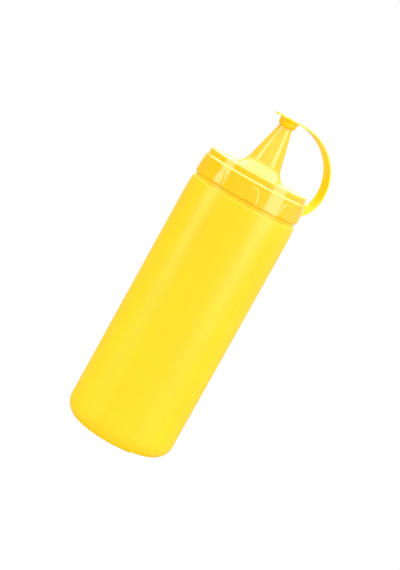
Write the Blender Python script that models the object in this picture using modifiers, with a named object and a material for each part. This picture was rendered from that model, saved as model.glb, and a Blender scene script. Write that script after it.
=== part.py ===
"""Sauce squeeze bottle: a shut, straight-sided bottle with a screw cap and a tethered tip cap.

Units are metres, +Z is up, and the origin is the centre of the flat base.
The front of the bottle faces -Y, and the tether stands out between +X and +Y.
"""

import math

import bmesh
import bpy

# Bottle
BODY_RADIUS = 0.0361
BASE_ROUNDING = 0.0118
SHOULDER_START_Z = 0.1600
SHOULDER_RADIUS = 0.03575
SHOULDER_TOP_Z = 0.1705
SHOULDER_ROUNDING = 0.0018
NECK_BEAD_RADIUS = 0.0341
NECK_BEAD_TOP_Z = 0.1719
NECK_RADIUS = 0.0315
NECK_TOP_Z = 0.1860
NECK_ROUNDING = 0.0006

# Screw cap: a tapering band, a bevelled lip, a low rim and a flat plate
FIT_GAP = 0.0003
EDGE_ROUNDING = 0.0004
BAND_BOTTOM_Z = 0.1722
BAND_TOP_Z = 0.1843
BAND_BOTTOM_RADIUS = 0.03555
BAND_TOP_RADIUS = 0.0349
LIP_TOP_Z = 0.1858
LIP_TOP_RADIUS = 0.0339
RIM_TOP_RADIUS = 0.0336
PLATE_TOP_Z = 0.1885

# Nozzle, moulded in one with the cap: a bevelled foot, a flare and a straight cone.
# The tether pulls it over a little, towards itself.
NOZZLE_TIP_RADIUS = 0.00353
NOZZLE_TIP_Z = 0.2262
NOZZLE_HALF_ANGLE_DEG = 13.74
NOZZLE_FOOT_RADIUS = 0.0170
NOZZLE_FOOT_ANGLE_DEG = 45.0
NOZZLE_FLARE_ROUNDING = 0.0123
NOZZLE_LEAN_DEG = 1.4

# Arched grip pads on the band, one pitch apart; the tether's foot takes the place of one
PAD_PITCH_DEG = 40.0
PAD_COUNT = 9
PAD_HALF_WIDTH = 0.0043
PAD_HEIGHT = 0.0103
PAD_LIFT = 0.0004
PAD_RAISE = 0.0004
PAD_ROOT_DEPTH = 0.0010
PAD_CUT_DEPTH = 0.0040

# Tip cap: a skirt round the nozzle under a small plate with a finger tab
TIP_TOP_Z = 0.2276
TIP_PLATE_RADIUS = 0.0070
TIP_SKIRT_TOP_RADIUS = 0.00625
TIP_SKIRT_RADIUS = 0.00595
TIP_CHAMFER_Z = 0.2226
TIP_MOUTH_RADIUS = 0.0054
TIP_MOUTH_Z = 0.2211
TAB_CENTRE = 0.0065

# Tether: a flat strap that bows out from the tip cap and comes back in to the band
TETHER_AZIMUTH_DEG = 35.0
STRAP_WIDTH = 0.0078
STRAP_THICKNESS = 0.0011
STRAP_WIDEST = 0.0503
STRAP_WIDEST_Z = 0.1940
STRAP_BEND_START = 0.0095
STRAP_RETURN_CENTRE = 0.0340
STRAP_LOWEST_Z = 0.1746

# Fineness of the round forms; four degrees a step sets every pad alike on the band's facets
BODY_STEPS = 90
TIP_STEPS = 40
EDGE_STEPS = 2
SHOULDER_STEPS = 5
BASE_STEPS = 10
FLARE_STEPS = 6
BEND_STEPS = 18
ARCH_STEPS = 16
WELD_DISTANCE = 0.000001
SHARP_ANGLE_DEG = 30.0

YELLOW = (1.0, 0.70, 0.035)
DEEP_YELLOW = (1.0, 0.62, 0.030)


def clear_scene():
    """Remove every object of the open scene."""
    for old in list(bpy.data.objects):
        bpy.data.objects.remove(old, do_unlink=True)


def new_collection(name):
    """Add a collection to the scene and return it."""
    collection = bpy.data.collections.new(name)
    bpy.context.scene.collection.children.link(collection)
    return collection


def plastic(name, colour, roughness):
    """Return the material of a moulded plastic piece."""
    material = bpy.data.materials.new(name)
    material.use_nodes = True
    shader = material.node_tree.nodes["Principled BSDF"]
    shader.inputs["Base Color"].default_value = (*colour, 1.0)
    shader.inputs["Roughness"].default_value = roughness
    shader.inputs["Metallic"].default_value = 0.0
    return material


def rounded(corners):
    """Return the points of a line through corners of (r, z, rounding, steps), each made an arc."""
    points = []
    for index, (r, z, rounding, steps) in enumerate(corners):
        if rounding == 0.0:
            points.append((r, z))
            continue
        before = corners[index - 1]
        after = corners[index + 1]
        way_in = math.atan2(z - before[1], r - before[0])
        way_out = math.atan2(after[1] - z, after[0] - r)
        turn = math.remainder(way_out - way_in, math.tau)
        reach = rounding * math.tan(abs(turn) / 2.0)
        start_r = r - reach * math.cos(way_in)
        start_z = z - reach * math.sin(way_in)
        side = math.copysign(1.0, turn)
        centre_r = start_r - side * rounding * math.sin(way_in)
        centre_z = start_z + side * rounding * math.cos(way_in)
        for step in range(steps + 1):
            heading = way_in + turn * step / steps
            arc_r = centre_r + side * rounding * math.sin(heading)
            arc_z = centre_z - side * rounding * math.cos(heading)
            points.append((arc_r, arc_z))
    return points


def ellipse_arc(centre, across, up, start, end, steps):
    """Return points of an ellipse between two angles in radians, both ends included."""
    points = []
    for step in range(steps + 1):
        angle = start + (end - start) * step / steps
        points.append((centre[0] + across * math.cos(angle), centre[1] + up * math.sin(angle)))
    return points


def turned(name, profile, steps, collection):
    """Turn a line of (r, z) points, which runs down its outer side, round the Z axis."""
    mesh = bpy.data.meshes.new(name)
    corners = [(r, 0.0, z) for r, z in profile]
    edges = [(index, index + 1) for index in range(len(corners) - 1)]
    mesh.from_pydata(corners, edges, [])
    piece = bpy.data.objects.new(name, mesh)
    collection.objects.link(piece)
    screw = piece.modifiers.new("Turn", "SCREW")
    screw.axis = "Z"
    screw.angle = math.tau
    screw.steps = steps
    screw.render_steps = steps
    screw.use_merge_vertices = True
    screw.merge_threshold = WELD_DISTANCE
    return piece


def extruded(name, outline, width, collection):
    """Extrude a closed outline of local (x, y) points, half the width each way along local Z."""
    curve = bpy.data.curves.new(name, "CURVE")
    curve.dimensions = "2D"
    curve.fill_mode = "BOTH"
    curve.extrude = width / 2.0
    spline = curve.splines.new("POLY")
    spline.points.add(len(outline) - 1)
    for point, (x, y) in zip(spline.points, outline):
        point.co = (x, y, 0.0, 1.0)
    spline.use_cyclic_u = True
    piece = bpy.data.objects.new(name, curve)
    collection.objects.link(piece)
    return piece


def as_mesh(source, collection):
    """Replace an object by a mesh of what it evaluates to, with its seams welded."""
    bpy.context.view_layer.update()
    evaluated = source.evaluated_get(bpy.context.evaluated_depsgraph_get())
    mesh = bpy.data.meshes.new_from_object(evaluated)
    mesh.transform(source.matrix_world)
    work = bmesh.new()
    work.from_mesh(mesh)
    bmesh.ops.remove_doubles(work, verts=work.verts, dist=WELD_DISTANCE)
    bmesh.ops.recalc_face_normals(work, faces=work.faces)
    work.to_mesh(mesh)
    work.free()
    name = source.name
    bpy.data.objects.remove(source, do_unlink=True)
    piece = bpy.data.objects.new(name, mesh)
    collection.objects.link(piece)
    return piece


def combine(target, tool, operation):
    """Join, cut or trim the target with a tool object, by an exact Boolean modifier."""
    boolean = target.modifiers.new(tool.name, "BOOLEAN")
    boolean.operation = operation
    boolean.solver = "EXACT"
    boolean.object = tool
    tool.hide_render = True
    tool.display_type = "WIRE"


def finish(piece, material):
    """Make the modelled mesh final, with its material and with shading smooth up to its edges."""
    made = as_mesh(piece, piece.users_collection[0])
    made.data.name = made.name
    made.data.materials.clear()
    made.data.materials.append(material)
    made.data.shade_smooth()
    made.data.set_sharp_from_angle(angle=math.radians(SHARP_ANGLE_DEG))


def lean(piece):
    """Pull what stands on the cap's plate over towards the tether, the more the higher it is."""
    turn = math.radians(TETHER_AZIMUTH_DEG)
    slope = math.tan(math.radians(NOZZLE_LEAN_DEG))
    for vertex in piece.data.vertices:
        shift = slope * max(0.0, vertex.co.z - PLATE_TOP_Z)
        vertex.co.x += shift * math.cos(turn)
        vertex.co.y += shift * math.sin(turn)


def band_radius(z):
    """Return the radius of the cap's tapering band at a height."""
    share = (z - BAND_BOTTOM_Z) / (BAND_TOP_Z - BAND_BOTTOM_Z)
    return BAND_BOTTOM_RADIUS + (BAND_TOP_RADIUS - BAND_BOTTOM_RADIUS) * share


def nozzle_radius(z):
    """Return the radius of the nozzle's straight cone at a height."""
    return NOZZLE_TIP_RADIUS + (NOZZLE_TIP_Z - z) * math.tan(math.radians(NOZZLE_HALF_ANGLE_DEG))


def make_bottle(parts):
    """Make the blow-moulded bottle and its neck, which is shut and can't be seen into."""
    corners = [
        (0.0, NECK_TOP_Z, 0.0, 0),
        (NECK_RADIUS, NECK_TOP_Z, NECK_ROUNDING, EDGE_STEPS),
        (NECK_RADIUS, NECK_BEAD_TOP_Z, 0.0, 0),
        (NECK_BEAD_RADIUS, NECK_BEAD_TOP_Z, EDGE_ROUNDING, EDGE_STEPS),
        (NECK_BEAD_RADIUS, SHOULDER_TOP_Z, 0.0, 0),
        (SHOULDER_RADIUS, SHOULDER_TOP_Z, SHOULDER_ROUNDING, SHOULDER_STEPS),
        (BODY_RADIUS, SHOULDER_START_Z, 0.0, 0),
        (BODY_RADIUS, 0.0, BASE_ROUNDING, BASE_STEPS),
        (0.0, 0.0, 0.0, 0),
    ]
    return turned("bottle", rounded(corners), BODY_STEPS, parts)


def flare_corner():
    """Return the point where the nozzle's cone and its bevelled foot would meet."""
    cone = math.tan(math.radians(NOZZLE_HALF_ANGLE_DEG))
    foot = math.tan(math.radians(NOZZLE_FOOT_ANGLE_DEG))
    drop = (NOZZLE_FOOT_RADIUS - NOZZLE_TIP_RADIUS - foot * (NOZZLE_TIP_Z - PLATE_TOP_Z)) / (cone - foot)
    return NOZZLE_TIP_RADIUS + cone * drop, NOZZLE_TIP_Z - drop


def make_pads(cutters):
    """Make the raised grip pads: a ring one pad thick, trimmed to the arched outlines."""
    bottom = BAND_BOTTOM_Z + PAD_LIFT
    top = BAND_BOTTOM_Z + PAD_HEIGHT
    ring = turned("grip_pads", [
        (band_radius(top) - PAD_ROOT_DEPTH, top),
        (band_radius(top) + PAD_RAISE, top),
        (band_radius(bottom) + PAD_RAISE, bottom),
        (band_radius(bottom) - PAD_ROOT_DEPTH, bottom),
        (band_radius(top) - PAD_ROOT_DEPTH, top),
    ], BODY_STEPS, cutters)

    outline = ellipse_arc((0.0, 0.0), PAD_HALF_WIDTH, top - bottom, 0.0, math.pi, ARCH_STEPS)
    arches = bmesh.new()
    for index in range(1, PAD_COUNT):
        turn = math.radians(TETHER_AZIMUTH_DEG + PAD_PITCH_DEG * index)
        arch = extruded("arch", outline, PAD_CUT_DEPTH, cutters)
        arch.rotation_euler = (math.pi / 2.0, 0.0, turn + math.pi / 2.0)
        arch.location = (BAND_BOTTOM_RADIUS * math.cos(turn), BAND_BOTTOM_RADIUS * math.sin(turn), bottom)
        arch = as_mesh(arch, cutters)
        arches.from_mesh(arch.data)
        bpy.data.objects.remove(arch, do_unlink=True)
    mesh = bpy.data.meshes.new("arches")
    arches.to_mesh(mesh)
    arches.free()
    arch_set = bpy.data.objects.new("arches", mesh)
    cutters.objects.link(arch_set)
    combine(ring, arch_set, "INTERSECT")
    return ring


def make_screw_cap(parts, cutters):
    """Make the cap that screws over the neck, with its pads and its nozzle in one moulding."""
    flare_r, flare_z = flare_corner()
    bore = NECK_RADIUS + FIT_GAP
    ceiling = NECK_TOP_Z + FIT_GAP
    corners = [
        (0.0, NOZZLE_TIP_Z, 0.0, 0),
        (NOZZLE_TIP_RADIUS, NOZZLE_TIP_Z, EDGE_ROUNDING, EDGE_STEPS),
        (flare_r, flare_z, NOZZLE_FLARE_ROUNDING, FLARE_STEPS),
        (NOZZLE_FOOT_RADIUS, PLATE_TOP_Z, EDGE_ROUNDING, EDGE_STEPS),
        (RIM_TOP_RADIUS, PLATE_TOP_Z, EDGE_ROUNDING, EDGE_STEPS),
        (LIP_TOP_RADIUS, LIP_TOP_Z, 0.0, 0),
        (BAND_TOP_RADIUS, BAND_TOP_Z, EDGE_ROUNDING, EDGE_STEPS),
        (BAND_BOTTOM_RADIUS, BAND_BOTTOM_Z, EDGE_ROUNDING, EDGE_STEPS),
        (bore, BAND_BOTTOM_Z, EDGE_ROUNDING, EDGE_STEPS),
        (bore, ceiling, 0.0, 0),
        (0.0, ceiling, 0.0, 0),
    ]
    cap = as_mesh(turned("screw_cap", rounded(corners), BODY_STEPS, parts), parts)
    lean(cap)
    combine(cap, make_pads(cutters), "UNION")
    return cap


def strap_outline():
    """Return the side view of the strap and its foot, as distances from the axis and heights."""
    underside = TIP_TOP_Z - STRAP_THICKNESS
    quarter = math.pi / 2.0
    bend = (STRAP_BEND_START, STRAP_WIDEST_Z)
    bend_across = STRAP_WIDEST - STRAP_BEND_START
    bend_up = TIP_TOP_Z - STRAP_WIDEST_Z
    back = (STRAP_RETURN_CENTRE, STRAP_WIDEST_Z)
    back_across = STRAP_WIDEST - STRAP_RETURN_CENTRE
    back_down = STRAP_WIDEST_Z - STRAP_LOWEST_Z
    inner_across = back_across - STRAP_THICKNESS
    inner_down = back_down - STRAP_THICKNESS
    foot_angle = -math.asin((STRAP_WIDEST_Z - BAND_TOP_Z) / inner_down)

    outer = ellipse_arc(bend, bend_across, bend_up, quarter, 0.0, BEND_STEPS)
    outer += ellipse_arc(back, back_across, back_down, 0.0, -quarter, BEND_STEPS)[1:]
    foot = [(STRAP_RETURN_CENTRE, BAND_TOP_Z)]
    inner = ellipse_arc(back, inner_across, inner_down, foot_angle, 0.0, BEND_STEPS // 2)
    inner += ellipse_arc(
        bend, bend_across - STRAP_THICKNESS, bend_up - STRAP_THICKNESS, 0.0, quarter, BEND_STEPS
    )[1:]
    tab = [(-TAB_CENTRE, underside), (-TAB_CENTRE, TIP_TOP_Z)]
    return outer + foot + inner + tab


def make_tip_cap(parts, cutters):
    """Make the tip cap: its skirt, plate, finger tab and tether are one moulding."""
    underside = TIP_TOP_Z - STRAP_THICKNESS
    ceiling = NOZZLE_TIP_Z + FIT_GAP
    corners = [
        (0.0, TIP_TOP_Z, 0.0, 0),
        (TIP_PLATE_RADIUS, TIP_TOP_Z, 0.0, 0),
        (TIP_PLATE_RADIUS, underside, 0.0, 0),
        (TIP_SKIRT_TOP_RADIUS, underside, 0.0, 0),
        (TIP_SKIRT_RADIUS, TIP_CHAMFER_Z, EDGE_ROUNDING, EDGE_STEPS),
        (TIP_MOUTH_RADIUS, TIP_MOUTH_Z, 0.0, 0),
        (nozzle_radius(TIP_MOUTH_Z) + FIT_GAP, TIP_MOUTH_Z, 0.0, 0),
        (nozzle_radius(ceiling) + FIT_GAP, ceiling, 0.0, 0),
        (0.0, ceiling, 0.0, 0),
    ]
    tip_cap = as_mesh(turned("tip_cap", rounded(corners), TIP_STEPS, parts), parts)
    lean(tip_cap)

    turn = math.radians(TETHER_AZIMUTH_DEG)
    strap = extruded("strap", strap_outline(), STRAP_WIDTH, cutters)
    strap.rotation_euler = (math.pi / 2.0, 0.0, turn)
    strap = as_mesh(strap, cutters)
    seat = [(0.0, PLATE_TOP_Z), (band_radius(PLATE_TOP_Z) + FIT_GAP, PLATE_TOP_Z)]
    seat += [(band_radius(BAND_BOTTOM_Z) + FIT_GAP, BAND_BOTTOM_Z), (0.0, BAND_BOTTOM_Z)]
    combine(strap, turned("band_seat", seat, BODY_STEPS, cutters), "DIFFERENCE")
    combine(tip_cap, strap, "UNION")

    tab_end = [(0.0, TIP_TOP_Z), (STRAP_WIDTH / 2.0, TIP_TOP_Z)]
    tab_end += [(STRAP_WIDTH / 2.0, underside), (0.0, underside)]
    tab = turned("tab_end", tab_end, TIP_STEPS, cutters)
    tab.location = (-TAB_CENTRE * math.cos(turn), -TAB_CENTRE * math.sin(turn), 0.0)
    combine(tip_cap, tab, "UNION")
    return tip_cap


def main():
    """Model the three pieces of the squeeze bottle."""
    clear_scene()
    parts = new_collection("sauce_squeeze_bottle")
    cutters = new_collection("cutters")
    finish(make_bottle(parts), plastic("LDPE, satin", YELLOW, 0.42))
    finish(make_screw_cap(parts, cutters), plastic("PP, glossy", DEEP_YELLOW, 0.16))
    finish(make_tip_cap(parts, cutters), plastic("LDPE, glossy", DEEP_YELLOW, 0.22))
    for guide in list(cutters.objects):
        bpy.data.objects.remove(guide, do_unlink=True)


main()
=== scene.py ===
"""Sauce squeeze bottle: a satin blown bottle, its glossy screw cap and a tip cap on a bowed strap.

Everything is in metres, +Z up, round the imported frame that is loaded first. The front faces -Y.
Run as a script, it makes the three pieces, their plastics, a white studio and the camera.
"""

import math

import bmesh
import bpy
from bpy.props import FloatProperty, FloatVectorProperty, PointerProperty
from mathutils import Matrix, Vector


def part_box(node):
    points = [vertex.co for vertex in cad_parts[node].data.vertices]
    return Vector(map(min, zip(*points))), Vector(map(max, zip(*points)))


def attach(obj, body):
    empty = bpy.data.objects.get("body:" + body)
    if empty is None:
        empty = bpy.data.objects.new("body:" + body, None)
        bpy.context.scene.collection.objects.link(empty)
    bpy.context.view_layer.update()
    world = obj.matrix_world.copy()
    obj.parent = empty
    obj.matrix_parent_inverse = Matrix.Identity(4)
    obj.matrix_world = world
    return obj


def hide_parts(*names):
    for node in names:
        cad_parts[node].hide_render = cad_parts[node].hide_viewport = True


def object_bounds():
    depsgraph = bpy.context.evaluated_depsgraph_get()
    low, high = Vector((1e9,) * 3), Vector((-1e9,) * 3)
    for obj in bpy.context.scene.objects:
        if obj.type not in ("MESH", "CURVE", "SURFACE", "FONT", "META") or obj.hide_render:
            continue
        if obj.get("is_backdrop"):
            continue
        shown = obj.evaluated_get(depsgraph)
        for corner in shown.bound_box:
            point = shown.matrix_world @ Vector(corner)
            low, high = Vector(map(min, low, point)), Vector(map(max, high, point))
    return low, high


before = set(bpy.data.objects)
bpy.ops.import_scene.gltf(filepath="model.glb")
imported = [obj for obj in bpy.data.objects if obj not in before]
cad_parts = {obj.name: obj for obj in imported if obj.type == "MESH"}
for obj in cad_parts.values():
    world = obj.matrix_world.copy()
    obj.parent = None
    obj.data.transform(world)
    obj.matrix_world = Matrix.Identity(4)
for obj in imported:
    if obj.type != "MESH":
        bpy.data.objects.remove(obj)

bl_info = {
    "name": "Sauce squeeze bottle",
    "version": (1, 0, 0),
    "blender": (4, 5, 0),
    "location": "3D View > Sidebar > Squeeze bottle",
    "description": "Makes a sauce squeeze bottle with a screw cap and a tethered tip cap",
    "category": "Add Mesh",
}

CAD_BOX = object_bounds()
BOTTLE_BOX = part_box("bottle")
CAP_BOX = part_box("screw_cap")
TIP_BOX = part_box("tip_cap")

MILLIMETRE = 0.001
WHITE = (1.0, 1.0, 1.0, 1.0)

# The photograph's frame, and the long side of the camera's sensor in millimetres
PHOTO_LONG_SIDE = 570
SENSOR_LONG_SIDE = 36.0

# The floor's sheet, just under the base, and the light pad between the two
FLOOR_RADIUS = 3.0
FLOOR_CORNERS = 96
FLOOR_DROP = 1.0 * MILLIMETRE
ACRYLIC_ROUGHNESS = 0.02
ACRYLIC_IOR = 1.49
PAD_SIZE = 2.0
PAD_DROP = 0.5 * MILLIMETRE

# The softboxes, each with its name, its direction from the front in degrees and its width
SOFTBOXES = (("left_softbox", -65.0, 0.52), ("right_softbox", 58.0, 0.68))
SOFTBOX_DISTANCE = 1.2
SOFTBOX_CENTRE = 0.49
SOFTBOX_HEIGHT = 0.96
FRONT_LIGHT_PLACE = (-0.6, -1.4, 0.25)
FRONT_LIGHT_TARGET = (0.0, 0.0, 0.12)
FRONT_LIGHT_SIZE = 1.0

# Where the light tent's walls, back and roof begin and where they are whole, as the share of a
# direction that points up, to the back, or up at the tilted roof
WALLS_SPAN = (0.05, 0.60)
BACK_SPAN = (0.86, 0.98)
ROOF_SPAN = (0.52, 0.68)
ROOF_TILT = math.radians(10.0)

# Fineness of the meshes
BOTTLE_COLUMNS = 240
CAP_COLUMNS = 630
TIP_COLUMNS = 160
LONGEST_ROW = 4.0 * MILLIMETRE
BAND_ROW = 0.3 * MILLIMETRE
ARC_STEPS = 6
FLARE_STEPS = 20
BASE_STEPS = 24
STRAP_STEPS = 60
SEAM_STEPS = 6
SEAM_STEPS_PER_WIDTH = 4.0
EDGE_SEGMENTS = 3
WELD_DISTANCE = 0.001 * MILLIMETRE
SHARP_ANGLE = math.radians(50.0)

# How many finer layers each unevenness of the plastics has
STREAK_DETAIL = 3.0
CLOUD_DETAIL = 2.0
GRAIN_DETAIL = 2.0

# How far red, green and blue light get through plastic with a yellow pigment, against each other
PIGMENT_REACH = (1.0, 0.7, 0.15)

# The Mix node's sockets for colours and for numbers, which share their names
COLOUR_A, COLOUR_B, MIXED_COLOUR = 6, 7, 2
NUMBER_A, NUMBER_B, MIXED_NUMBER = 2, 3, 0


def colour(code):
    """Turn an sRGB hex value into linear red, green and blue."""
    shares = [int(code[start:start + 2], 16) / 255.0 for start in (1, 3, 5)]
    return tuple(s / 12.92 if s <= 0.04045 else ((s + 0.055) / 1.055) ** 2.4 for s in shares)


def number(name, description, default):
    """Return a setting that is a plain number."""
    return FloatProperty(name=name, description=description, default=default)


def length(name, description, default):
    """Return a setting that is a length in metres."""
    return FloatProperty(
        name=name, description=description, default=default, min=0.0, precision=5, unit="LENGTH"
    )


def angle(name, description, degrees):
    """Return a setting that is an angle."""
    return FloatProperty(
        name=name, description=description, default=math.radians(degrees), subtype="ANGLE"
    )


def tint(name, description, code):
    """Return a setting that is a colour."""
    return FloatVectorProperty(
        name=name, description=description, default=colour(code), min=0.0, max=1.0, subtype="COLOR"
    )


class BottleSettings(bpy.types.PropertyGroup):
    """Sizes and colours of the blown bottle."""

    body_radius: length("Body radius", "Radius of the straight body", BOTTLE_BOX[1].x)
    base_rounding: length("Base rounding", "Radius of the rounded edge of the base", 0.0118)
    shoulder_start: length("Shoulder start", "Height at which the body starts to draw in", 0.1600)
    shoulder_radius: length("Shoulder radius", "Radius at the top of the shoulder", 0.0357)
    shoulder_top: length("Shoulder top", "Height of the top of the shoulder", 0.1694)
    shoulder_rounding: length("Shoulder rounding", "Radius of the shoulder's rounded edge", 0.0008)
    bead_radius: length("Bead radius", "Radius of the bead under the cap", 0.0343)
    bead_top: length("Bead top", "Height of the top of the bead", 0.17215)
    neck_radius: length("Neck radius", "Radius of the neck inside the cap", 0.0315)
    neck_top: length("Neck top", "Height of the top of the neck", BOTTLE_BOX[1].z)
    edge_rounding: length("Edge rounding", "Radius of the small rounded edges", 0.0004)
    seam_turn: angle("Seam direction", "Direction of the mould's parting line, from +X", -61.5)
    seam_height: length("Seam height", "Height of the parting line's fine ridge", 0.00003)
    seam_width: length("Seam width", "Width of the parting line's fine ridge", 0.0006)
    half_step: length(
        "Step between the halves",
        "Step at the base, where the mould's halves don't quite meet",
        0.0007,
    )
    half_fade: angle(
        "Fade of the step", "Angle round the base over which the step fades out", 110.0
    )
    skin: tint("Skin", "Colour of the plastic where the wall is thin", "#ffc700")
    # Second tone: streaks, and painted light on the bead in the cap's shade
    skin_streaks_and_lit_bead: tint("Skin streaks and lit bead", "Colour of the streaks, and of the bead painted lighter in the cap's shade", "#ffd500")


class CapSettings(bpy.types.PropertyGroup):
    """Sizes and colours of the moulded screw cap."""

    band_bottom: length("Band bottom", "Height of the lower edge of the band", CAP_BOX[0].z)
    band_top: length("Band top", "Height of the upper edge of the band", 0.1843)
    band_bottom_radius: length(
        "Band radius, bottom", "Radius at the lower edge of the band", 0.03555
    )
    band_top_radius: length("Band radius, top", "Radius at the upper edge of the band", 0.0349)
    lip_top: length("Lip top", "Height of the top of the bevelled lip", 0.1854)
    lip_radius: length("Lip radius", "Radius at the top of the bevelled lip", 0.0339)
    rim_radius: length("Rim radius", "Radius at the top of the rim", 0.0336)
    rim_rounding: length("Rim rounding", "Radius of the rim's rounded top edge", 0.0009)
    plate_top: length("Plate top", "Height of the flat plate", 0.1893)
    bore: length("Bore", "Radius of the space for the neck", 0.0318)
    ceiling: length("Ceiling", "Height of the top of the space for the neck", 0.1863)
    edge_rounding: length("Edge rounding", "Radius of the moulded edges", 0.0004)
    nozzle_tip: length("Nozzle tip", "Height of the nozzle's tip", CAP_BOX[1].z)
    nozzle_tip_radius: length("Nozzle tip radius", "Radius of the nozzle's tip", 0.0032)
    nozzle_slope: angle("Nozzle slope", "Half of the nozzle's cone angle", 14.39)
    nozzle_foot_radius: length("Nozzle foot radius", "Radius of the nozzle's bevelled foot", 0.0162)
    nozzle_foot_slope: angle("Nozzle foot slope", "Slope of the foot, from the axis", 45.0)
    flare_rounding: length("Flare rounding", "Radius of the flare between cone and foot", 0.0123)
    nozzle_lean: angle("Nozzle lean", "Lean of the nozzle towards the tether that pulls it", 1.4)
    pad_pitch: angle("Pad pitch", "Angle from one grip pad to the next", 40.0)
    pad_half_width: length("Pad half width", "Half the width of a grip pad at its foot", 0.0043)
    pad_height: length("Pad height", "Height of an arched grip pad", 0.0099)
    pad_lift: length("Pad lift", "Height of a pad's foot over the band's edge", 0.0004)
    pad_raise: length("Pad raise", "Height of a pad over the band", 0.0003)
    pad_edge: length("Pad edge", "Width of a pad's rounded edge", 0.0005)
    shell: tint("Shell", "Colour of the cap", "#ffc200")
    shell_deep: tint("Deep shell", "Colour of the cap where the plastic is thicker", "#ffbd00")


class TipCapSettings(bpy.types.PropertyGroup):
    """Sizes and colours of the tip cap and its tether."""

    top: length("Top", "Height of the flat top", TIP_BOX[1].z)
    plate_radius: length("Plate radius", "Radius of the round plate", 0.0070)
    skirt_top_radius: length("Skirt radius, top", "Radius of the skirt under the plate", 0.0061)
    skirt_radius: length(
        "Skirt radius, bottom", "Radius of the skirt over its bevelled mouth", 0.0058
    )
    chamfer: length("Chamfer", "Height of the top of the bevelled mouth", 0.2232)
    mouth_radius: length("Mouth radius", "Outer radius of the mouth", 0.0052)
    mouth: length("Mouth", "Height of the mouth", 0.2218)
    fit_gap: length("Fit gap", "Gap between the skirt and the nozzle", 0.0003)
    tab_reach: length(
        "Tab reach", "Distance from the axis to the centre of the tab's round end", 0.0065
    )
    turn: angle("Tether direction", "Direction in which the strap stands out, from +X", 35.0)
    strap_width: length("Strap width", "Width of the strap and the tab", 0.0078)
    strap_thickness: length(
        "Strap thickness", "Thickness of the strap, the tab and the plate", 0.0011
    )
    strap_widest: length(
        "Strap reach", "Distance from the axis to the widest part of the bow", 0.0503
    )
    strap_widest_z: length("Height of the bow", "Height of the widest part of the bow", 0.1940)
    bend_start: length(
        "Bend start", "Distance from the axis at which the strap starts to bend", 0.0095
    )
    return_centre: length(
        "Return centre", "Distance from the axis to the lower bend's centre", 0.0340
    )
    strap_lowest: length("Strap bottom", "Height of the lowest point of the strap's bend", 0.1746)
    edge_rounding: length("Edge rounding", "Radius of the strap's rounded edges", 0.00025)
    strap: tint("Strap", "Colour of the strap and the tip cap", "#ffde00")
    # Second tone: streaks, and painted shade on the tip cap
    strap_streaks_and_shaded_tip: tint("Strap streaks and shaded tip", "Colour of the streaks, and of the tip painted in shade", "#ffbe00")


class StudioSettings(bpy.types.PropertyGroup):
    """The camera, the lights and the floor."""

    aim_side: FloatProperty(
        name="Aim, sideways",
        description="Sideways place of the point that the camera aims at",
        default=0.00158,
        precision=5,
        unit="LENGTH",
    )
    aim_height: length("Aim, height", "Height of the point that the camera aims at", 0.11012)
    distance: length("Camera distance", "Distance from the camera to the aim", 1.1221)
    elevation: angle("Camera elevation", "Height of the camera over the aim, as an angle", 7.0)
    roll: angle("Camera roll", "Turn of the camera about its own axis", 29.05)
    focal_pixels: number("Focal length", "Focal length in image pixels", 1800.0)
    backdrop: number("Backdrop", "Brightness of the white that the camera sees", 1.02)
    fill_left: number("Fill, left", "Brightness of the tent low on the left", 0.15)
    fill_right: number("Fill, right", "Brightness of the tent low on the right", 0.55)
    fill_back: number("Fill, back", "Brightness of the tent at the back", 1.0)
    wall_glow: number("Tent walls", "Brightness of the light tent's walls", 1.0)
    roof_glow: number("Tent roof", "Brightness of the light tent's roof", 3.1)
    front_glow: number("Front light", "Brightness of the polarised front light", 0.5)
    pad_glow: number("Light pad", "Brightness of the light pad under the bottle", 1.2)
    side_glow: number("Side softboxes", "Brightness of the side softboxes", 1.9)
    floor_glow: number("Floor glow", "Brightness of the floor, lit from below", 0.02)
    floor: tint("Floor", "Colour of the sheet, as it lights the bottle", "#303030")


def rounded(corners):
    """Return the points of a line through corners of (r, z, rounding, steps), each made an arc."""
    points = []
    for index, (r, z, rounding, steps) in enumerate(corners):
        if rounding == 0.0:
            points.append((r, z))
            continue
        before = corners[index - 1]
        after = corners[index + 1]
        way_in = math.atan2(z - before[1], r - before[0])
        way_out = math.atan2(after[1] - z, after[0] - r)
        turn = math.remainder(way_out - way_in, math.tau)
        reach = rounding * math.tan(abs(turn) / 2.0)
        start_r = r - reach * math.cos(way_in)
        start_z = z - reach * math.sin(way_in)
        side = math.copysign(1.0, turn)
        centre_r = start_r - side * rounding * math.sin(way_in)
        centre_z = start_z + side * rounding * math.cos(way_in)
        for step in range(steps + 1):
            heading = way_in + turn * step / steps
            arc_r = centre_r + side * rounding * math.sin(heading)
            arc_z = centre_z - side * rounding * math.cos(heading)
            points.append((arc_r, arc_z))
    return points


def ellipse_arc(centre, across, up, start, end, steps):
    """Return points of an ellipse between two angles in radians, both ends included."""
    points = []
    for step in range(steps + 1):
        turn = start + (end - start) * step / steps
        points.append((centre[0] + across * math.cos(turn), centre[1] + up * math.sin(turn)))
    return points


def divided(points, longest):
    """Divide the long stretches of a line, so that no step is longer than asked."""
    line = [points[0]]
    for before, after in zip(points, points[1:]):
        pieces = max(1, math.ceil(math.dist(before, after) / longest(before, after)))
        for piece in range(1, pieces + 1):
            share = piece / pieces
            line.append(tuple(b + (a - b) * share for b, a in zip(before, after)))
    return line


def even_turns(count):
    """Return evenly spaced angles round the axis."""
    return [math.tau * index / count for index in range(count)]


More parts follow.
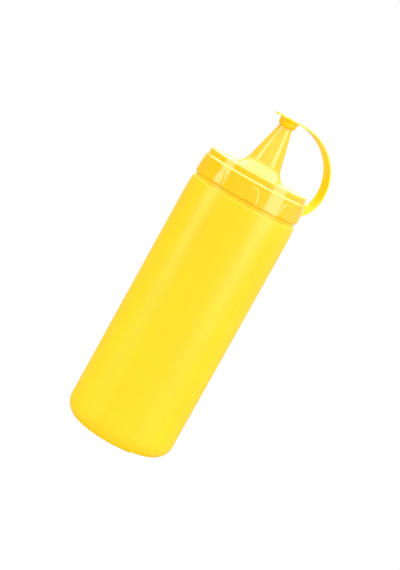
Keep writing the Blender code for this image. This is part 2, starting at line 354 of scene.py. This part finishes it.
def lathe(name, profile, turns, shaped):
    """Turn a line of (r, z) points, which runs down its outer side, into a mesh round the Z axis.

    The function shaped is given r, z and the angle of each point, and returns its final place.
    """
    form = bmesh.new()
    rows = []
    for r, z in profile:
        places = [shaped(r, z, turn) for turn in (turns if r > 0.0 else turns[:1])]
        rows.append([form.verts.new(place) for place in places])
    for upper, lower in zip(rows, rows[1:]):
        for index in range(len(turns)):
            ahead = (index + 1) % len(turns)
            corners = [
                upper[index % len(upper)],
                lower[index % len(lower)],
                lower[ahead % len(lower)],
                upper[ahead % len(upper)],
            ]
            form.faces.new(list(dict.fromkeys(corners)))
    return new_piece(name, form)


def new_piece(name, form):
    """Make an object of a bmesh form, and link it to the scene."""
    mesh = bpy.data.meshes.new(name)
    form.to_mesh(mesh)
    form.free()
    piece = bpy.data.objects.new(name, mesh)
    bpy.context.scene.collection.objects.link(piece)
    return piece


def round_the_axis(r, z, turn):
    """Return the plain place of a turned point."""
    return r * math.cos(turn), r * math.sin(turn), z


def extruded(name, outline, width):
    """Extrude a closed outline of (x, y) points, half the width each way along Z."""
    curve = bpy.data.curves.new(name, "CURVE")
    curve.dimensions = "2D"
    curve.fill_mode = "BOTH"
    curve.extrude = width / 2.0
    spline = curve.splines.new("POLY")
    spline.points.add(len(outline) - 1)
    for point, (x, y) in zip(spline.points, outline):
        point.co = (x, y, 0.0, 1.0)
    spline.use_cyclic_u = True
    piece = bpy.data.objects.new(name, curve)
    bpy.context.scene.collection.objects.link(piece)
    return piece


def as_mesh(source):
    """Replace an object by a mesh of what it evaluates to, with its seams welded."""
    bpy.context.view_layer.update()
    evaluated = source.evaluated_get(bpy.context.evaluated_depsgraph_get())
    mesh = bpy.data.meshes.new_from_object(evaluated)
    mesh.transform(source.matrix_world)
    form = bmesh.new()
    form.from_mesh(mesh)
    bmesh.ops.remove_doubles(form, verts=form.verts, dist=WELD_DISTANCE)
    bmesh.ops.recalc_face_normals(form, faces=form.faces)
    bpy.data.meshes.remove(mesh)
    name = source.name
    bpy.data.objects.remove(source, do_unlink=True)
    return new_piece(name, form)


def joined(target, tool, operation):
    """Join the tool to the target, or cut it away, by an exact Boolean, and remove the tool."""
    boolean = target.modifiers.new(tool.name, "BOOLEAN")
    boolean.operation = operation
    boolean.solver = "EXACT"
    boolean.object = tool
    made = as_mesh(target)
    bpy.data.objects.remove(tool, do_unlink=True)
    return made


def softened(piece, width):
    """Round the sharp edges of a piece."""
    bevel = piece.modifiers.new("Edges", "BEVEL")
    bevel.limit_method = "ANGLE"
    bevel.angle_limit = SHARP_ANGLE
    bevel.width = width
    bevel.segments = EDGE_SEGMENTS
    return as_mesh(piece)


def finish(piece, node, material):
    """Shade a finished piece, give it its plastic and let it stand for a node of the frame."""
    piece.data.materials.append(material)
    piece.data.shade_smooth()
    piece.data.set_sharp_from_angle(angle=SHARP_ANGLE)
    weighted = piece.modifiers.new("Weighted normals", "WEIGHTED_NORMAL")
    weighted.keep_sharp = True
    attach(piece, "root")
    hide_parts(node)


def add_node(tree, kind, settings, sockets):
    """Add a node, set its settings, and give its sockets their values or links."""
    node = tree.nodes.new(kind)
    for name, value in settings.items():
        setattr(node, name, value)
    for name, value in sockets.items():
        if isinstance(value, bpy.types.NodeSocket):
            tree.links.new(value, node.inputs[name])
        else:
            node.inputs[name].default_value = value
    return node


def per_metre(millimetres):
    """Return the scale of a noise whose patches are about that many millimetres across."""
    return 1.0 / (millimetres * MILLIMETRE)


def plastic(name, light, deep, looks):
    """Make a moulded plastic: its two tones, its gloss and the fine unevenness of its skin."""
    material = bpy.data.materials.new(name)
    material.use_nodes = True
    tree = material.node_tree
    shader = tree.nodes["Principled BSDF"]
    place = add_node(tree, "ShaderNodeTexCoord", {}, {}).outputs["Object"]

    # Streaks that run up the piece, as the melt flowed
    drawn = add_node(tree, "ShaderNodeMapping", {}, {
        "Vector": place,
        "Scale": (1.0, 1.0, looks["streak_width"] / looks["streak_length"]),
    })
    streaks = add_node(tree, "ShaderNodeTexNoise", {}, {
        "Vector": drawn.outputs["Vector"],
        "Scale": per_metre(looks["streak_width"]),
        "Detail": STREAK_DETAIL,
    })
    clouds = add_node(tree, "ShaderNodeTexNoise", {}, {
        "Vector": place,
        "Scale": per_metre(looks["cloud_size"]),
        "Detail": CLOUD_DETAIL,
    })
    blend = add_node(tree, "ShaderNodeMath", {"operation": "MULTIPLY"}, {
        0: streaks.outputs["Fac"],
        1: clouds.outputs["Fac"],
    })
    second_tone_share = blend.outputs["Value"]

    # Painted shading: the second tone is whole near a given place, as painted light on the
    # bottle's bead in the cap's shade and as painted shade on the tip cap
    if "painted_shading_place" in looks:
        away = add_node(tree, "ShaderNodeVectorMath", {"operation": "DISTANCE"}, {
            0: place,
            1: looks["painted_shading_place"],
        })
        near = add_node(tree, "ShaderNodeMapRange", {"interpolation_type": "SMOOTHSTEP"}, {
            "Value": away.outputs["Value"],
            "From Min": looks["painted_shading_far"],
            "From Max": looks["painted_shading_near"],
        })
        with_painted_shading = add_node(tree, "ShaderNodeMath", {"operation": "ADD", "use_clamp": True}, {
            0: second_tone_share,
            1: near.outputs["Result"],
        })
        second_tone_share = with_painted_shading.outputs["Value"]
    # The second tone: random streaks, and the painted shading near the given place
    tones = add_node(tree, "ShaderNodeMix", {"data_type": "RGBA"}, {
        "Factor": second_tone_share,
        COLOUR_A: (*light, 1.0),
        COLOUR_B: (*deep, 1.0),
    })

    # The gloss and the bumps of the skin
    gloss = add_node(tree, "ShaderNodeMapRange", {}, {
        "Value": streaks.outputs["Fac"],
        "To Min": looks["roughness"][0],
        "To Max": looks["roughness"][1],
    })
    grain = add_node(tree, "ShaderNodeTexNoise", {}, {
        "Vector": place,
        "Scale": per_metre(looks["grain_size"]),
        "Detail": GRAIN_DETAIL,
    })
    waves = add_node(tree, "ShaderNodeBump", {}, {
        "Height": streaks.outputs["Fac"],
        "Distance": looks["wave_depth"] * MILLIMETRE,
        "Strength": 1.0,
    })
    peel = add_node(tree, "ShaderNodeBump", {}, {
        "Height": grain.outputs["Fac"],
        "Distance": looks["grain_depth"] * MILLIMETRE,
        "Strength": 1.0,
        "Normal": waves.outputs["Normal"],
    })
    tree.links.new(tones.outputs[MIXED_COLOUR], shader.inputs["Base Color"])
    tree.links.new(gloss.outputs["Result"], shader.inputs["Roughness"])
    tree.links.new(peel.outputs["Normal"], shader.inputs["Normal"])
    shader.inputs["IOR"].default_value = looks["ior"]
    shader.inputs["Specular IOR Level"].default_value = looks["reflection"]
    shader.inputs["Subsurface Weight"].default_value = looks["translucency"]
    shader.inputs["Subsurface Radius"].default_value = PIGMENT_REACH
    shader.inputs["Subsurface Scale"].default_value = looks["light_reach"] * MILLIMETRE
    return material


def blown_ldpe(settings):
    """LDPE, extrusion blow-moulded against a sand-blasted mould.

    It gives the eye a satin, waxy skin: broad soft highlights and faint streaks up the wall where
    the parison was drawn. Its bead under the cap is painted a lighter, purer yellow, as painted
    light in the cap's shade.
    The sand-blasted grit is 0.1 mm; it is drawn at 0.6 mm, as the true one is too fine to show.
    """
    return plastic("LDPE, blow-moulded, satin", settings.skin, settings.skin_streaks_and_lit_bead, {
        "streak_width": 4.0,
        "streak_length": 90.0,
        "cloud_size": 30.0,
        "grain_size": 0.6,
        "grain_depth": 0.010,
        "wave_depth": 0.03,
        "roughness": (0.28, 0.34),
        "ior": 1.51,
        "reflection": 0.82,
        "translucency": 0.6,
        "light_reach": 2.0,
        # Painted light: the bead in the cap's shade takes the lighter second tone
        "painted_shading_place": (0.0, 0.0, 0.1715),
        "painted_shading_near": 0.0346,
        "painted_shading_far": 0.0352,
    })


def moulded_pp(settings):
    """PP, injection-moulded in a polished mould.

    It gives the eye a deep, clean yellow with crisp reflections of the lights. Its flow lines are
    some 3 mm wide, and the mould's polish leaves an orange peel of 1.2 mm.
    """
    return plastic("PP, injection-moulded, gloss", settings.shell, settings.shell_deep, {
        "streak_width": 3.0,
        "streak_length": 9.0,
        "cloud_size": 12.0,
        "grain_size": 1.2,
        "grain_depth": 0.001,
        "wave_depth": 0.002,
        "roughness": (0.07, 0.11),
        "ior": 1.55,
        "reflection": 1.0,
        "translucency": 0.3,
        "light_reach": 1.5,
    })


def moulded_ldpe(settings):
    """LDPE, injection-moulded in a polished mould, flexible.

    It gives the eye a clear gloss, weaker than the cap's, on a yellow that is painted orange at
    the tip, as painted shade under the plate over the skirt, which sits on the nozzle.
    Its flow lines are some 2 mm wide, and the mould's polish leaves an orange peel of 1 mm.
    """
    return plastic("LDPE, injection-moulded, gloss", settings.strap, settings.strap_streaks_and_shaded_tip, {
        "streak_width": 2.0,
        "streak_length": 12.0,
        "cloud_size": 8.0,
        "grain_size": 1.0,
        "grain_depth": 0.0015,
        "wave_depth": 0.004,
        "roughness": (0.08, 0.12),
        "ior": 1.51,
        "reflection": 0.45,
        "translucency": 0.0,
        "light_reach": 0.8,
        # Painted shade: the tip cap takes the orange second tone near its top
        "painted_shading_place": (0.0007, 0.0005, 0.2245),
        "painted_shading_near": 0.0045,
        "painted_shading_far": 0.0078,
    })


def bell(distance, width):
    """Return a smooth bump that is one at no distance and fades out within the width."""
    return math.exp(-(2.0 * distance / width) ** 2)


def smooth_step(share):
    """Return a smooth rise from 0 to 1."""
    share = min(1.0, max(0.0, share))
    return share * share * (3.0 - 2.0 * share)


class AddBottle(bpy.types.Operator):
    """Make the blown bottle, with its shoulder, its neck and the traces of its mould"""

    bl_idname = "squeeze_bottle.add_bottle"
    bl_label = "Add bottle"

    def execute(self, context):
        """Turn the bottle's profile, and raise the mould's parting line on it."""
        sizes = context.scene.squeeze_bottle_body
        corners = [
            (0.0, sizes.neck_top, 0.0, 0),
            (sizes.neck_radius, sizes.neck_top, sizes.edge_rounding, ARC_STEPS),
            (sizes.neck_radius, sizes.bead_top, 0.0, 0),
            (sizes.bead_radius, sizes.bead_top, sizes.edge_rounding, ARC_STEPS),
            (sizes.bead_radius, sizes.shoulder_top, 0.0, 0),
            (sizes.shoulder_radius, sizes.shoulder_top, sizes.shoulder_rounding, ARC_STEPS),
            (sizes.body_radius, sizes.shoulder_start, 0.0, 0),
            (sizes.body_radius, 0.0, sizes.base_rounding, BASE_STEPS),
            (0.0, 0.0, 0.0, 0),
        ]
        profile = divided(rounded(corners), lambda before, after: LONGEST_ROW)
        seams = [sizes.seam_turn, sizes.seam_turn + math.pi]
        fine = sizes.seam_width / SEAM_STEPS_PER_WIDTH / sizes.body_radius
        turns = set(even_turns(BOTTLE_COLUMNS))
        for seam in seams:
            steps = range(-SEAM_STEPS, SEAM_STEPS + 1)
            turns.update((seam + fine * step) % math.tau for step in steps)

        def shaped(r, z, turn):
            """Raise the parting line on the wall, and step one half of the base up from it.

            The step is whole in the lower half of the rounding and the outer half of the base.
            """
            aside = min(abs(math.remainder(turn - seam, math.tau)) for seam in seams) * r
            ahead = (turn - sizes.seam_turn) % math.tau
            low = smooth_step(2.0 - 2.0 * z / sizes.base_rounding)
            outward = smooth_step(2.0 * r / sizes.body_radius)
            if z < sizes.shoulder_top:
                r -= sizes.seam_height * (1.0 - bell(aside, sizes.seam_width))
            z += sizes.half_step * (low * outward) * smooth_step(1.0 - ahead / sizes.half_fade)
            return round_the_axis(max(r, 0.0), z, turn)

        bottle = lathe("blown_bottle", profile, sorted(turns), shaped)
        finish(bottle, "bottle", blown_ldpe(sizes))
        return {"FINISHED"}


def band_radius(sizes, z):
    """Return the radius of the cap's tapering band at a height."""
    share = (z - sizes.band_bottom) / (sizes.band_top - sizes.band_bottom)
    return sizes.band_bottom_radius + (sizes.band_top_radius - sizes.band_bottom_radius) * share


def nozzle_radius(sizes, z):
    """Return the radius of the nozzle's straight cone at a height."""
    return sizes.nozzle_tip_radius + (sizes.nozzle_tip - z) * math.tan(sizes.nozzle_slope)


def flare_corner(sizes):
    """Return the point where the nozzle's cone and its bevelled foot would meet."""
    cone = math.tan(sizes.nozzle_slope)
    foot = math.tan(sizes.nozzle_foot_slope)
    height = sizes.nozzle_tip - sizes.plate_top
    drop = (sizes.nozzle_foot_radius - sizes.nozzle_tip_radius - foot * height) / (cone - foot)
    return sizes.nozzle_tip_radius + cone * drop, sizes.nozzle_tip - drop


def leaning(cap, tether_turn, place):
    """Pull a place above the cap's plate over towards the tether, the more the higher it is."""
    x, y, z = place
    shift = math.tan(cap.nozzle_lean) * max(0.0, z - cap.plate_top)
    return x + shift * math.cos(tether_turn), y + shift * math.sin(tether_turn), z


class AddScrewCap(bpy.types.Operator):
    """Make the screw cap: its band with arched grip pads, its lip, rim, plate and nozzle"""

    bl_idname = "squeeze_bottle.add_screw_cap"
    bl_label = "Add screw cap"

    def execute(self, context):
        """Turn the cap's profile, and raise the pads on its band."""
        sizes = context.scene.squeeze_bottle_cap
        tether_turn = context.scene.squeeze_bottle_tip.turn
        pads = round(math.tau / sizes.pad_pitch)
        edge = sizes.edge_rounding
        flare_r, flare_z = flare_corner(sizes)
        corners = [
            (0.0, sizes.nozzle_tip, 0.0, 0),
            (sizes.nozzle_tip_radius, sizes.nozzle_tip, edge, ARC_STEPS),
            (flare_r, flare_z, sizes.flare_rounding, FLARE_STEPS),
            (sizes.nozzle_foot_radius, sizes.plate_top, edge, ARC_STEPS),
            (sizes.rim_radius, sizes.plate_top, sizes.rim_rounding, ARC_STEPS),
            (sizes.lip_radius, sizes.lip_top, edge / 2.0, ARC_STEPS),
            (sizes.band_top_radius, sizes.band_top, edge, ARC_STEPS),
            (sizes.band_bottom_radius, sizes.band_bottom, edge, ARC_STEPS),
            (sizes.bore, sizes.band_bottom, edge, ARC_STEPS),
            (sizes.bore, sizes.ceiling, 0.0, 0),
            (0.0, sizes.ceiling, 0.0, 0),
        ]

        def longest(before, after):
            """Ask for short rows on the band, where the pads stand out."""
            outside = min(before[0], after[0]) > sizes.bore + sizes.pad_raise
            low = min(before[1], after[1]) < sizes.band_top
            return BAND_ROW if outside and low else LONGEST_ROW

        def shaped(r, z, turn):
            """Raise the pads, all but the one under the strap's foot, and lean the nozzle."""
            index = round((turn - tether_turn) / sizes.pad_pitch)
            on_band = r > band_radius(sizes, z) - edge and z < sizes.band_top
            if on_band and index % pads != 0:
                aside = (turn - tether_turn - index * sizes.pad_pitch) * r
                up = z - sizes.band_bottom - sizes.pad_lift
                reach = math.hypot(aside / sizes.pad_half_width, up / sizes.pad_height)
                inside = min((1.0 - reach) * sizes.pad_half_width, up)
                r += sizes.pad_raise * smooth_step(inside / sizes.pad_edge)
            return leaning(sizes, tether_turn, round_the_axis(r, z, turn))

        profile = divided(rounded(corners), longest)
        cap = lathe("moulded_screw_cap", profile, even_turns(CAP_COLUMNS), shaped)
        finish(cap, "screw_cap", moulded_pp(sizes))
        return {"FINISHED"}


def strap_outline(sizes, foot_top):
    """Return the side view of the strap and its foot, as distances from the axis and heights."""
    thick = sizes.strap_thickness
    quarter = math.pi / 2.0
    bend = (sizes.bend_start, sizes.strap_widest_z)
    bend_across = sizes.strap_widest - sizes.bend_start
    bend_up = sizes.top - sizes.strap_widest_z
    back = (sizes.return_centre, sizes.strap_widest_z)
    back_across = sizes.strap_widest - sizes.return_centre
    back_down = sizes.strap_widest_z - sizes.strap_lowest
    foot_turn = -math.asin((sizes.strap_widest_z - foot_top) / (back_down - thick))

    outer = ellipse_arc(bend, bend_across, bend_up, quarter, 0.0, STRAP_STEPS)
    outer += ellipse_arc(back, back_across, back_down, 0.0, -quarter, STRAP_STEPS)[1:]
    foot = [(sizes.return_centre, foot_top)]
    inner = ellipse_arc(
        back, back_across - thick, back_down - thick, foot_turn, 0.0, STRAP_STEPS // 2
    )
    inner += ellipse_arc(bend, bend_across - thick, bend_up - thick, 0.0, quarter, STRAP_STEPS)[1:]
    tab = [(-sizes.tab_reach, sizes.top - thick), (-sizes.tab_reach, sizes.top)]
    return outer + foot + inner + tab


class AddTipCap(bpy.types.Operator):
    """Make the tip cap: its skirt, its plate with a finger tab, and its strap down to the band"""

    bl_idname = "squeeze_bottle.add_tip_cap"
    bl_label = "Add tip cap"

    def execute(self, context):
        """Turn the skirt, bend the strap, and join them in one moulding."""
        sizes = context.scene.squeeze_bottle_tip
        cap = context.scene.squeeze_bottle_cap
        underside = sizes.top - sizes.strap_thickness
        ceiling = cap.nozzle_tip + sizes.fit_gap
        edge = sizes.edge_rounding
        corners = [
            (0.0, sizes.top, 0.0, 0),
            (sizes.plate_radius, sizes.top, edge, ARC_STEPS),
            (sizes.plate_radius, underside, edge, ARC_STEPS),
            (sizes.skirt_top_radius, underside, edge, ARC_STEPS),
            (sizes.skirt_radius, sizes.chamfer, edge, ARC_STEPS),
            (sizes.mouth_radius, sizes.mouth, edge, ARC_STEPS),
            (nozzle_radius(cap, sizes.mouth) + sizes.fit_gap, sizes.mouth, 0.0, 0),
            (nozzle_radius(cap, ceiling) + sizes.fit_gap, ceiling, 0.0, 0),
            (0.0, ceiling, 0.0, 0),
        ]

        def shaped(r, z, turn):
            """Lean the tip cap with the nozzle that it sits on."""
            return leaning(cap, sizes.turn, round_the_axis(r, z, turn))

        turns = even_turns(TIP_COLUMNS)
        tip_cap = lathe("moulded_tip_cap", rounded(corners), turns, shaped)

        strap = extruded("strap", strap_outline(sizes, cap.band_top), sizes.strap_width)
        strap.rotation_euler = (math.pi / 2.0, 0.0, sizes.turn)
        strap = softened(as_mesh(strap), edge)

        # The strap's foot is cut to the band, so that it lies on it
        seat_profile = [
            (0.0, cap.plate_top),
            (band_radius(cap, cap.plate_top) + sizes.fit_gap, cap.plate_top),
            (band_radius(cap, cap.band_bottom) + sizes.fit_gap, cap.band_bottom),
            (0.0, cap.band_bottom),
        ]
        seat = lathe("band_seat", seat_profile, even_turns(BOTTLE_COLUMNS), round_the_axis)
        strap = joined(strap, seat, "DIFFERENCE")
        tip_cap = joined(tip_cap, strap, "UNION")

        # The finger tab ends in a half circle
        half = sizes.strap_width / 2.0
        tab_corners = [
            (0.0, sizes.top, 0.0, 0),
            (half, sizes.top, edge, ARC_STEPS),
            (half, underside, edge, ARC_STEPS),
            (0.0, underside, 0.0, 0),
        ]
        tab = lathe("tab_end", rounded(tab_corners), turns, round_the_axis)
        tab.location = round_the_axis(-sizes.tab_reach, 0.0, sizes.turn)
        tip_cap = joined(tip_cap, tab, "UNION")
        finish(tip_cap, "tip_cap", moulded_ldpe(sizes))
        return {"FINISHED"}


def softbox(name, place, target, width, height, glow):
    """Add a rectangular softbox of a given brightness that faces its target."""
    lamp = bpy.data.lights.new(name, "AREA")
    lamp.shape = "RECTANGLE"
    lamp.size = width
    lamp.size_y = height
    lamp.energy = glow * math.pi * width * height
    light = bpy.data.objects.new(name, lamp)
    light.location = place
    light.rotation_euler = (Vector(target) - Vector(place)).to_track_quat("-Z", "Y").to_euler()
    light.visible_camera = False
    bpy.context.scene.collection.objects.link(light)
    return light


class AddStudio(bpy.types.Operator):
    """Make the white floor, the softboxes, the white surroundings and the camera"""

    bl_idname = "squeeze_bottle.add_studio"
    bl_label = "Add studio"

    def execute(self, context):
        """Set up the floor, the lights and the camera."""
        sizes = context.scene.squeeze_bottle_studio
        self.add_floor(sizes)
        self.add_lights(context, sizes)
        self.add_camera(context, sizes)
        return {"FINISHED"}

    def add_floor(self, sizes):
        """Lay a polished acrylic sheet under the bottle, lit from below.

        It gives the eye plain white, as in the photograph; in the bottle's gloss it stays dark.
        """
        form = bmesh.new()
        bmesh.ops.create_circle(form, cap_ends=True, segments=FLOOR_CORNERS, radius=FLOOR_RADIUS)
        floor = new_piece("floor", form)
        floor.location = (0.0, 0.0, -FLOOR_DROP)
        sheet = bpy.data.materials.new("Acrylic sheet, polished, lit from below")
        sheet.use_nodes = True
        tree = sheet.node_tree
        shader = tree.nodes["Principled BSDF"]
        shader.inputs["Base Color"].default_value = (*sizes.floor, 1.0)
        shader.inputs["Roughness"].default_value = ACRYLIC_ROUGHNESS
        shader.inputs["IOR"].default_value = ACRYLIC_IOR
        shader.inputs["Emission Color"].default_value = WHITE
        shader.inputs["Emission Strength"].default_value = sizes.floor_glow
        white = add_node(tree, "ShaderNodeEmission", {}, {"Strength": sizes.backdrop})
        seen = add_node(tree, "ShaderNodeLightPath", {}, {}).outputs["Is Camera Ray"]
        shown = add_node(tree, "ShaderNodeMixShader", {}, {
            0: seen,
            1: shader.outputs["BSDF"],
            2: white.outputs["Emission"],
        })
        tree.links.new(shown.outputs["Shader"], tree.nodes["Material Output"].inputs["Surface"])
        floor.data.materials.append(sheet)
        floor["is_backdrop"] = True

    def add_lights(self, context, sizes):
        """Stand the lights round the bottle, and put a white light tent over the floor."""
        for name, turn, width in SOFTBOXES:
            heading = math.radians(turn)
            place = (
                SOFTBOX_DISTANCE * math.sin(heading),
                -SOFTBOX_DISTANCE * math.cos(heading),
                SOFTBOX_CENTRE,
            )
            target = (0.0, 0.0, SOFTBOX_CENTRE)
            softbox(name, place, target, width, SOFTBOX_HEIGHT, sizes.side_glow)

        # These two are cross-polarised: they brighten the yellow without a highlight
        front = softbox(
            "front_light",
            FRONT_LIGHT_PLACE,
            FRONT_LIGHT_TARGET,
            FRONT_LIGHT_SIZE,
            FRONT_LIGHT_SIZE,
            sizes.front_glow,
        )
        pad = softbox(
            "light_pad", (0.0, 0.0, -PAD_DROP), (0.0, 0.0, 1.0), PAD_SIZE, PAD_SIZE, sizes.pad_glow
        )
        front.visible_glossy = False
        pad.visible_glossy = False
        context.scene.world = self.light_tent(sizes)
        context.scene.view_settings.view_transform = "Standard"

    def light_tent(self, sizes):
        """Return the white tent: low fill lights, then the walls, the back and the roof on them."""
        world = bpy.data.worlds.new("White light tent")
        world.use_nodes = True
        tree = world.node_tree
        way = add_node(tree, "ShaderNodeTexCoord", {}, {}).outputs["Generated"]
        split = add_node(tree, "ShaderNodeSeparateXYZ", {}, {"Vector": way})
        low = add_node(tree, "ShaderNodeMapRange", {}, {
            "Value": split.outputs["X"],
            "From Min": -1.0,
            "To Min": sizes.fill_left,
            "To Max": sizes.fill_right,
        })
        # The roof hangs a little behind the bottle
        upward = add_node(tree, "ShaderNodeVectorMath", {"operation": "DOT_PRODUCT"}, {
            0: way,
            1: (0.0, math.sin(ROOF_TILT), math.cos(ROOF_TILT)),
        })
        lit = low.outputs["Result"]
        for share, (begin, whole), brightness in (
            (split.outputs["Z"], WALLS_SPAN, sizes.wall_glow),
            (split.outputs["Y"], BACK_SPAN, sizes.fill_back),
            (upward.outputs["Value"], ROOF_SPAN, sizes.roof_glow),
        ):
            layer = add_node(tree, "ShaderNodeMapRange", {"interpolation_type": "SMOOTHSTEP"}, {
                "Value": share,
                "From Min": begin,
                "From Max": whole,
                "To Min": lit,
                "To Max": brightness,
            })
            lit = layer.outputs["Result"]
        seen = add_node(tree, "ShaderNodeLightPath", {}, {}).outputs["Is Camera Ray"]
        shown = add_node(tree, "ShaderNodeMix", {"data_type": "FLOAT"}, {
            "Factor": seen,
            NUMBER_A: lit,
            NUMBER_B: sizes.backdrop,
        })
        background = tree.nodes["Background"]
        background.inputs["Color"].default_value = WHITE
        tree.links.new(shown.outputs[MIXED_NUMBER], background.inputs["Strength"])
        return world

    def add_camera(self, context, sizes):
        """Put the camera where the photograph was taken, turned about its own axis."""
        lens = bpy.data.cameras.new("camera")
        lens.sensor_width = SENSOR_LONG_SIDE
        lens.lens = SENSOR_LONG_SIDE * sizes.focal_pixels / PHOTO_LONG_SIDE
        camera = bpy.data.objects.new("camera", lens)
        back = Vector((0.0, -math.cos(sizes.elevation), math.sin(sizes.elevation)))
        upright = (-back).to_track_quat("-Z", "Y").to_matrix().to_4x4()
        aim = Vector((sizes.aim_side, 0.0, sizes.aim_height))
        place = Matrix.Translation(aim + back * sizes.distance)
        camera.matrix_world = place @ upright @ Matrix.Rotation(sizes.roll, 4, "Z")
        context.scene.collection.objects.link(camera)
        context.scene.camera = camera


class SqueezeBottlePanel(bpy.types.Panel):
    """Lists the pieces of the squeeze bottle and their settings"""

    bl_idname = "VIEW3D_PT_squeeze_bottle"
    bl_label = "Squeeze bottle"
    bl_space_type = "VIEW_3D"
    bl_region_type = "UI"
    bl_category = "Squeeze bottle"

    def draw(self, context):
        """Show a button for each piece over its settings."""
        for button, group in PANEL_ROWS:
            box = self.layout.box()
            box.operator(button.bl_idname)
            settings = getattr(context.scene, group)
            for name in settings.__annotations__:
                box.prop(settings, name)


PANEL_ROWS = (
    (AddBottle, "squeeze_bottle_body"),
    (AddScrewCap, "squeeze_bottle_cap"),
    (AddTipCap, "squeeze_bottle_tip"),
    (AddStudio, "squeeze_bottle_studio"),
)
GROUPS = {
    "squeeze_bottle_body": BottleSettings,
    "squeeze_bottle_cap": CapSettings,
    "squeeze_bottle_tip": TipCapSettings,
    "squeeze_bottle_studio": StudioSettings,
}
CLASSES = (*GROUPS.values(), AddBottle, AddScrewCap, AddTipCap, AddStudio, SqueezeBottlePanel)


def register():
    """Register the classes and hang their settings on the scene."""
    for part in CLASSES:
        bpy.utils.register_class(part)
    for name, group in GROUPS.items():
        setattr(bpy.types.Scene, name, PointerProperty(type=group))


def unregister():
    """Take the settings and the classes away again."""
    for name in GROUPS:
        delattr(bpy.types.Scene, name)
    for part in reversed(CLASSES):
        bpy.utils.unregister_class(part)


def main():
    """Make every piece and the studio."""
    register()
    bpy.ops.squeeze_bottle.add_bottle()
    bpy.ops.squeeze_bottle.add_screw_cap()
    bpy.ops.squeeze_bottle.add_tip_cap()
    bpy.ops.squeeze_bottle.add_studio()
    boxes = {"cad": CAD_BOX, "visual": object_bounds()}
    plain = {name: [list(corner) for corner in box] for name, box in boxes.items()}


if __name__ == "__main__":
    main()
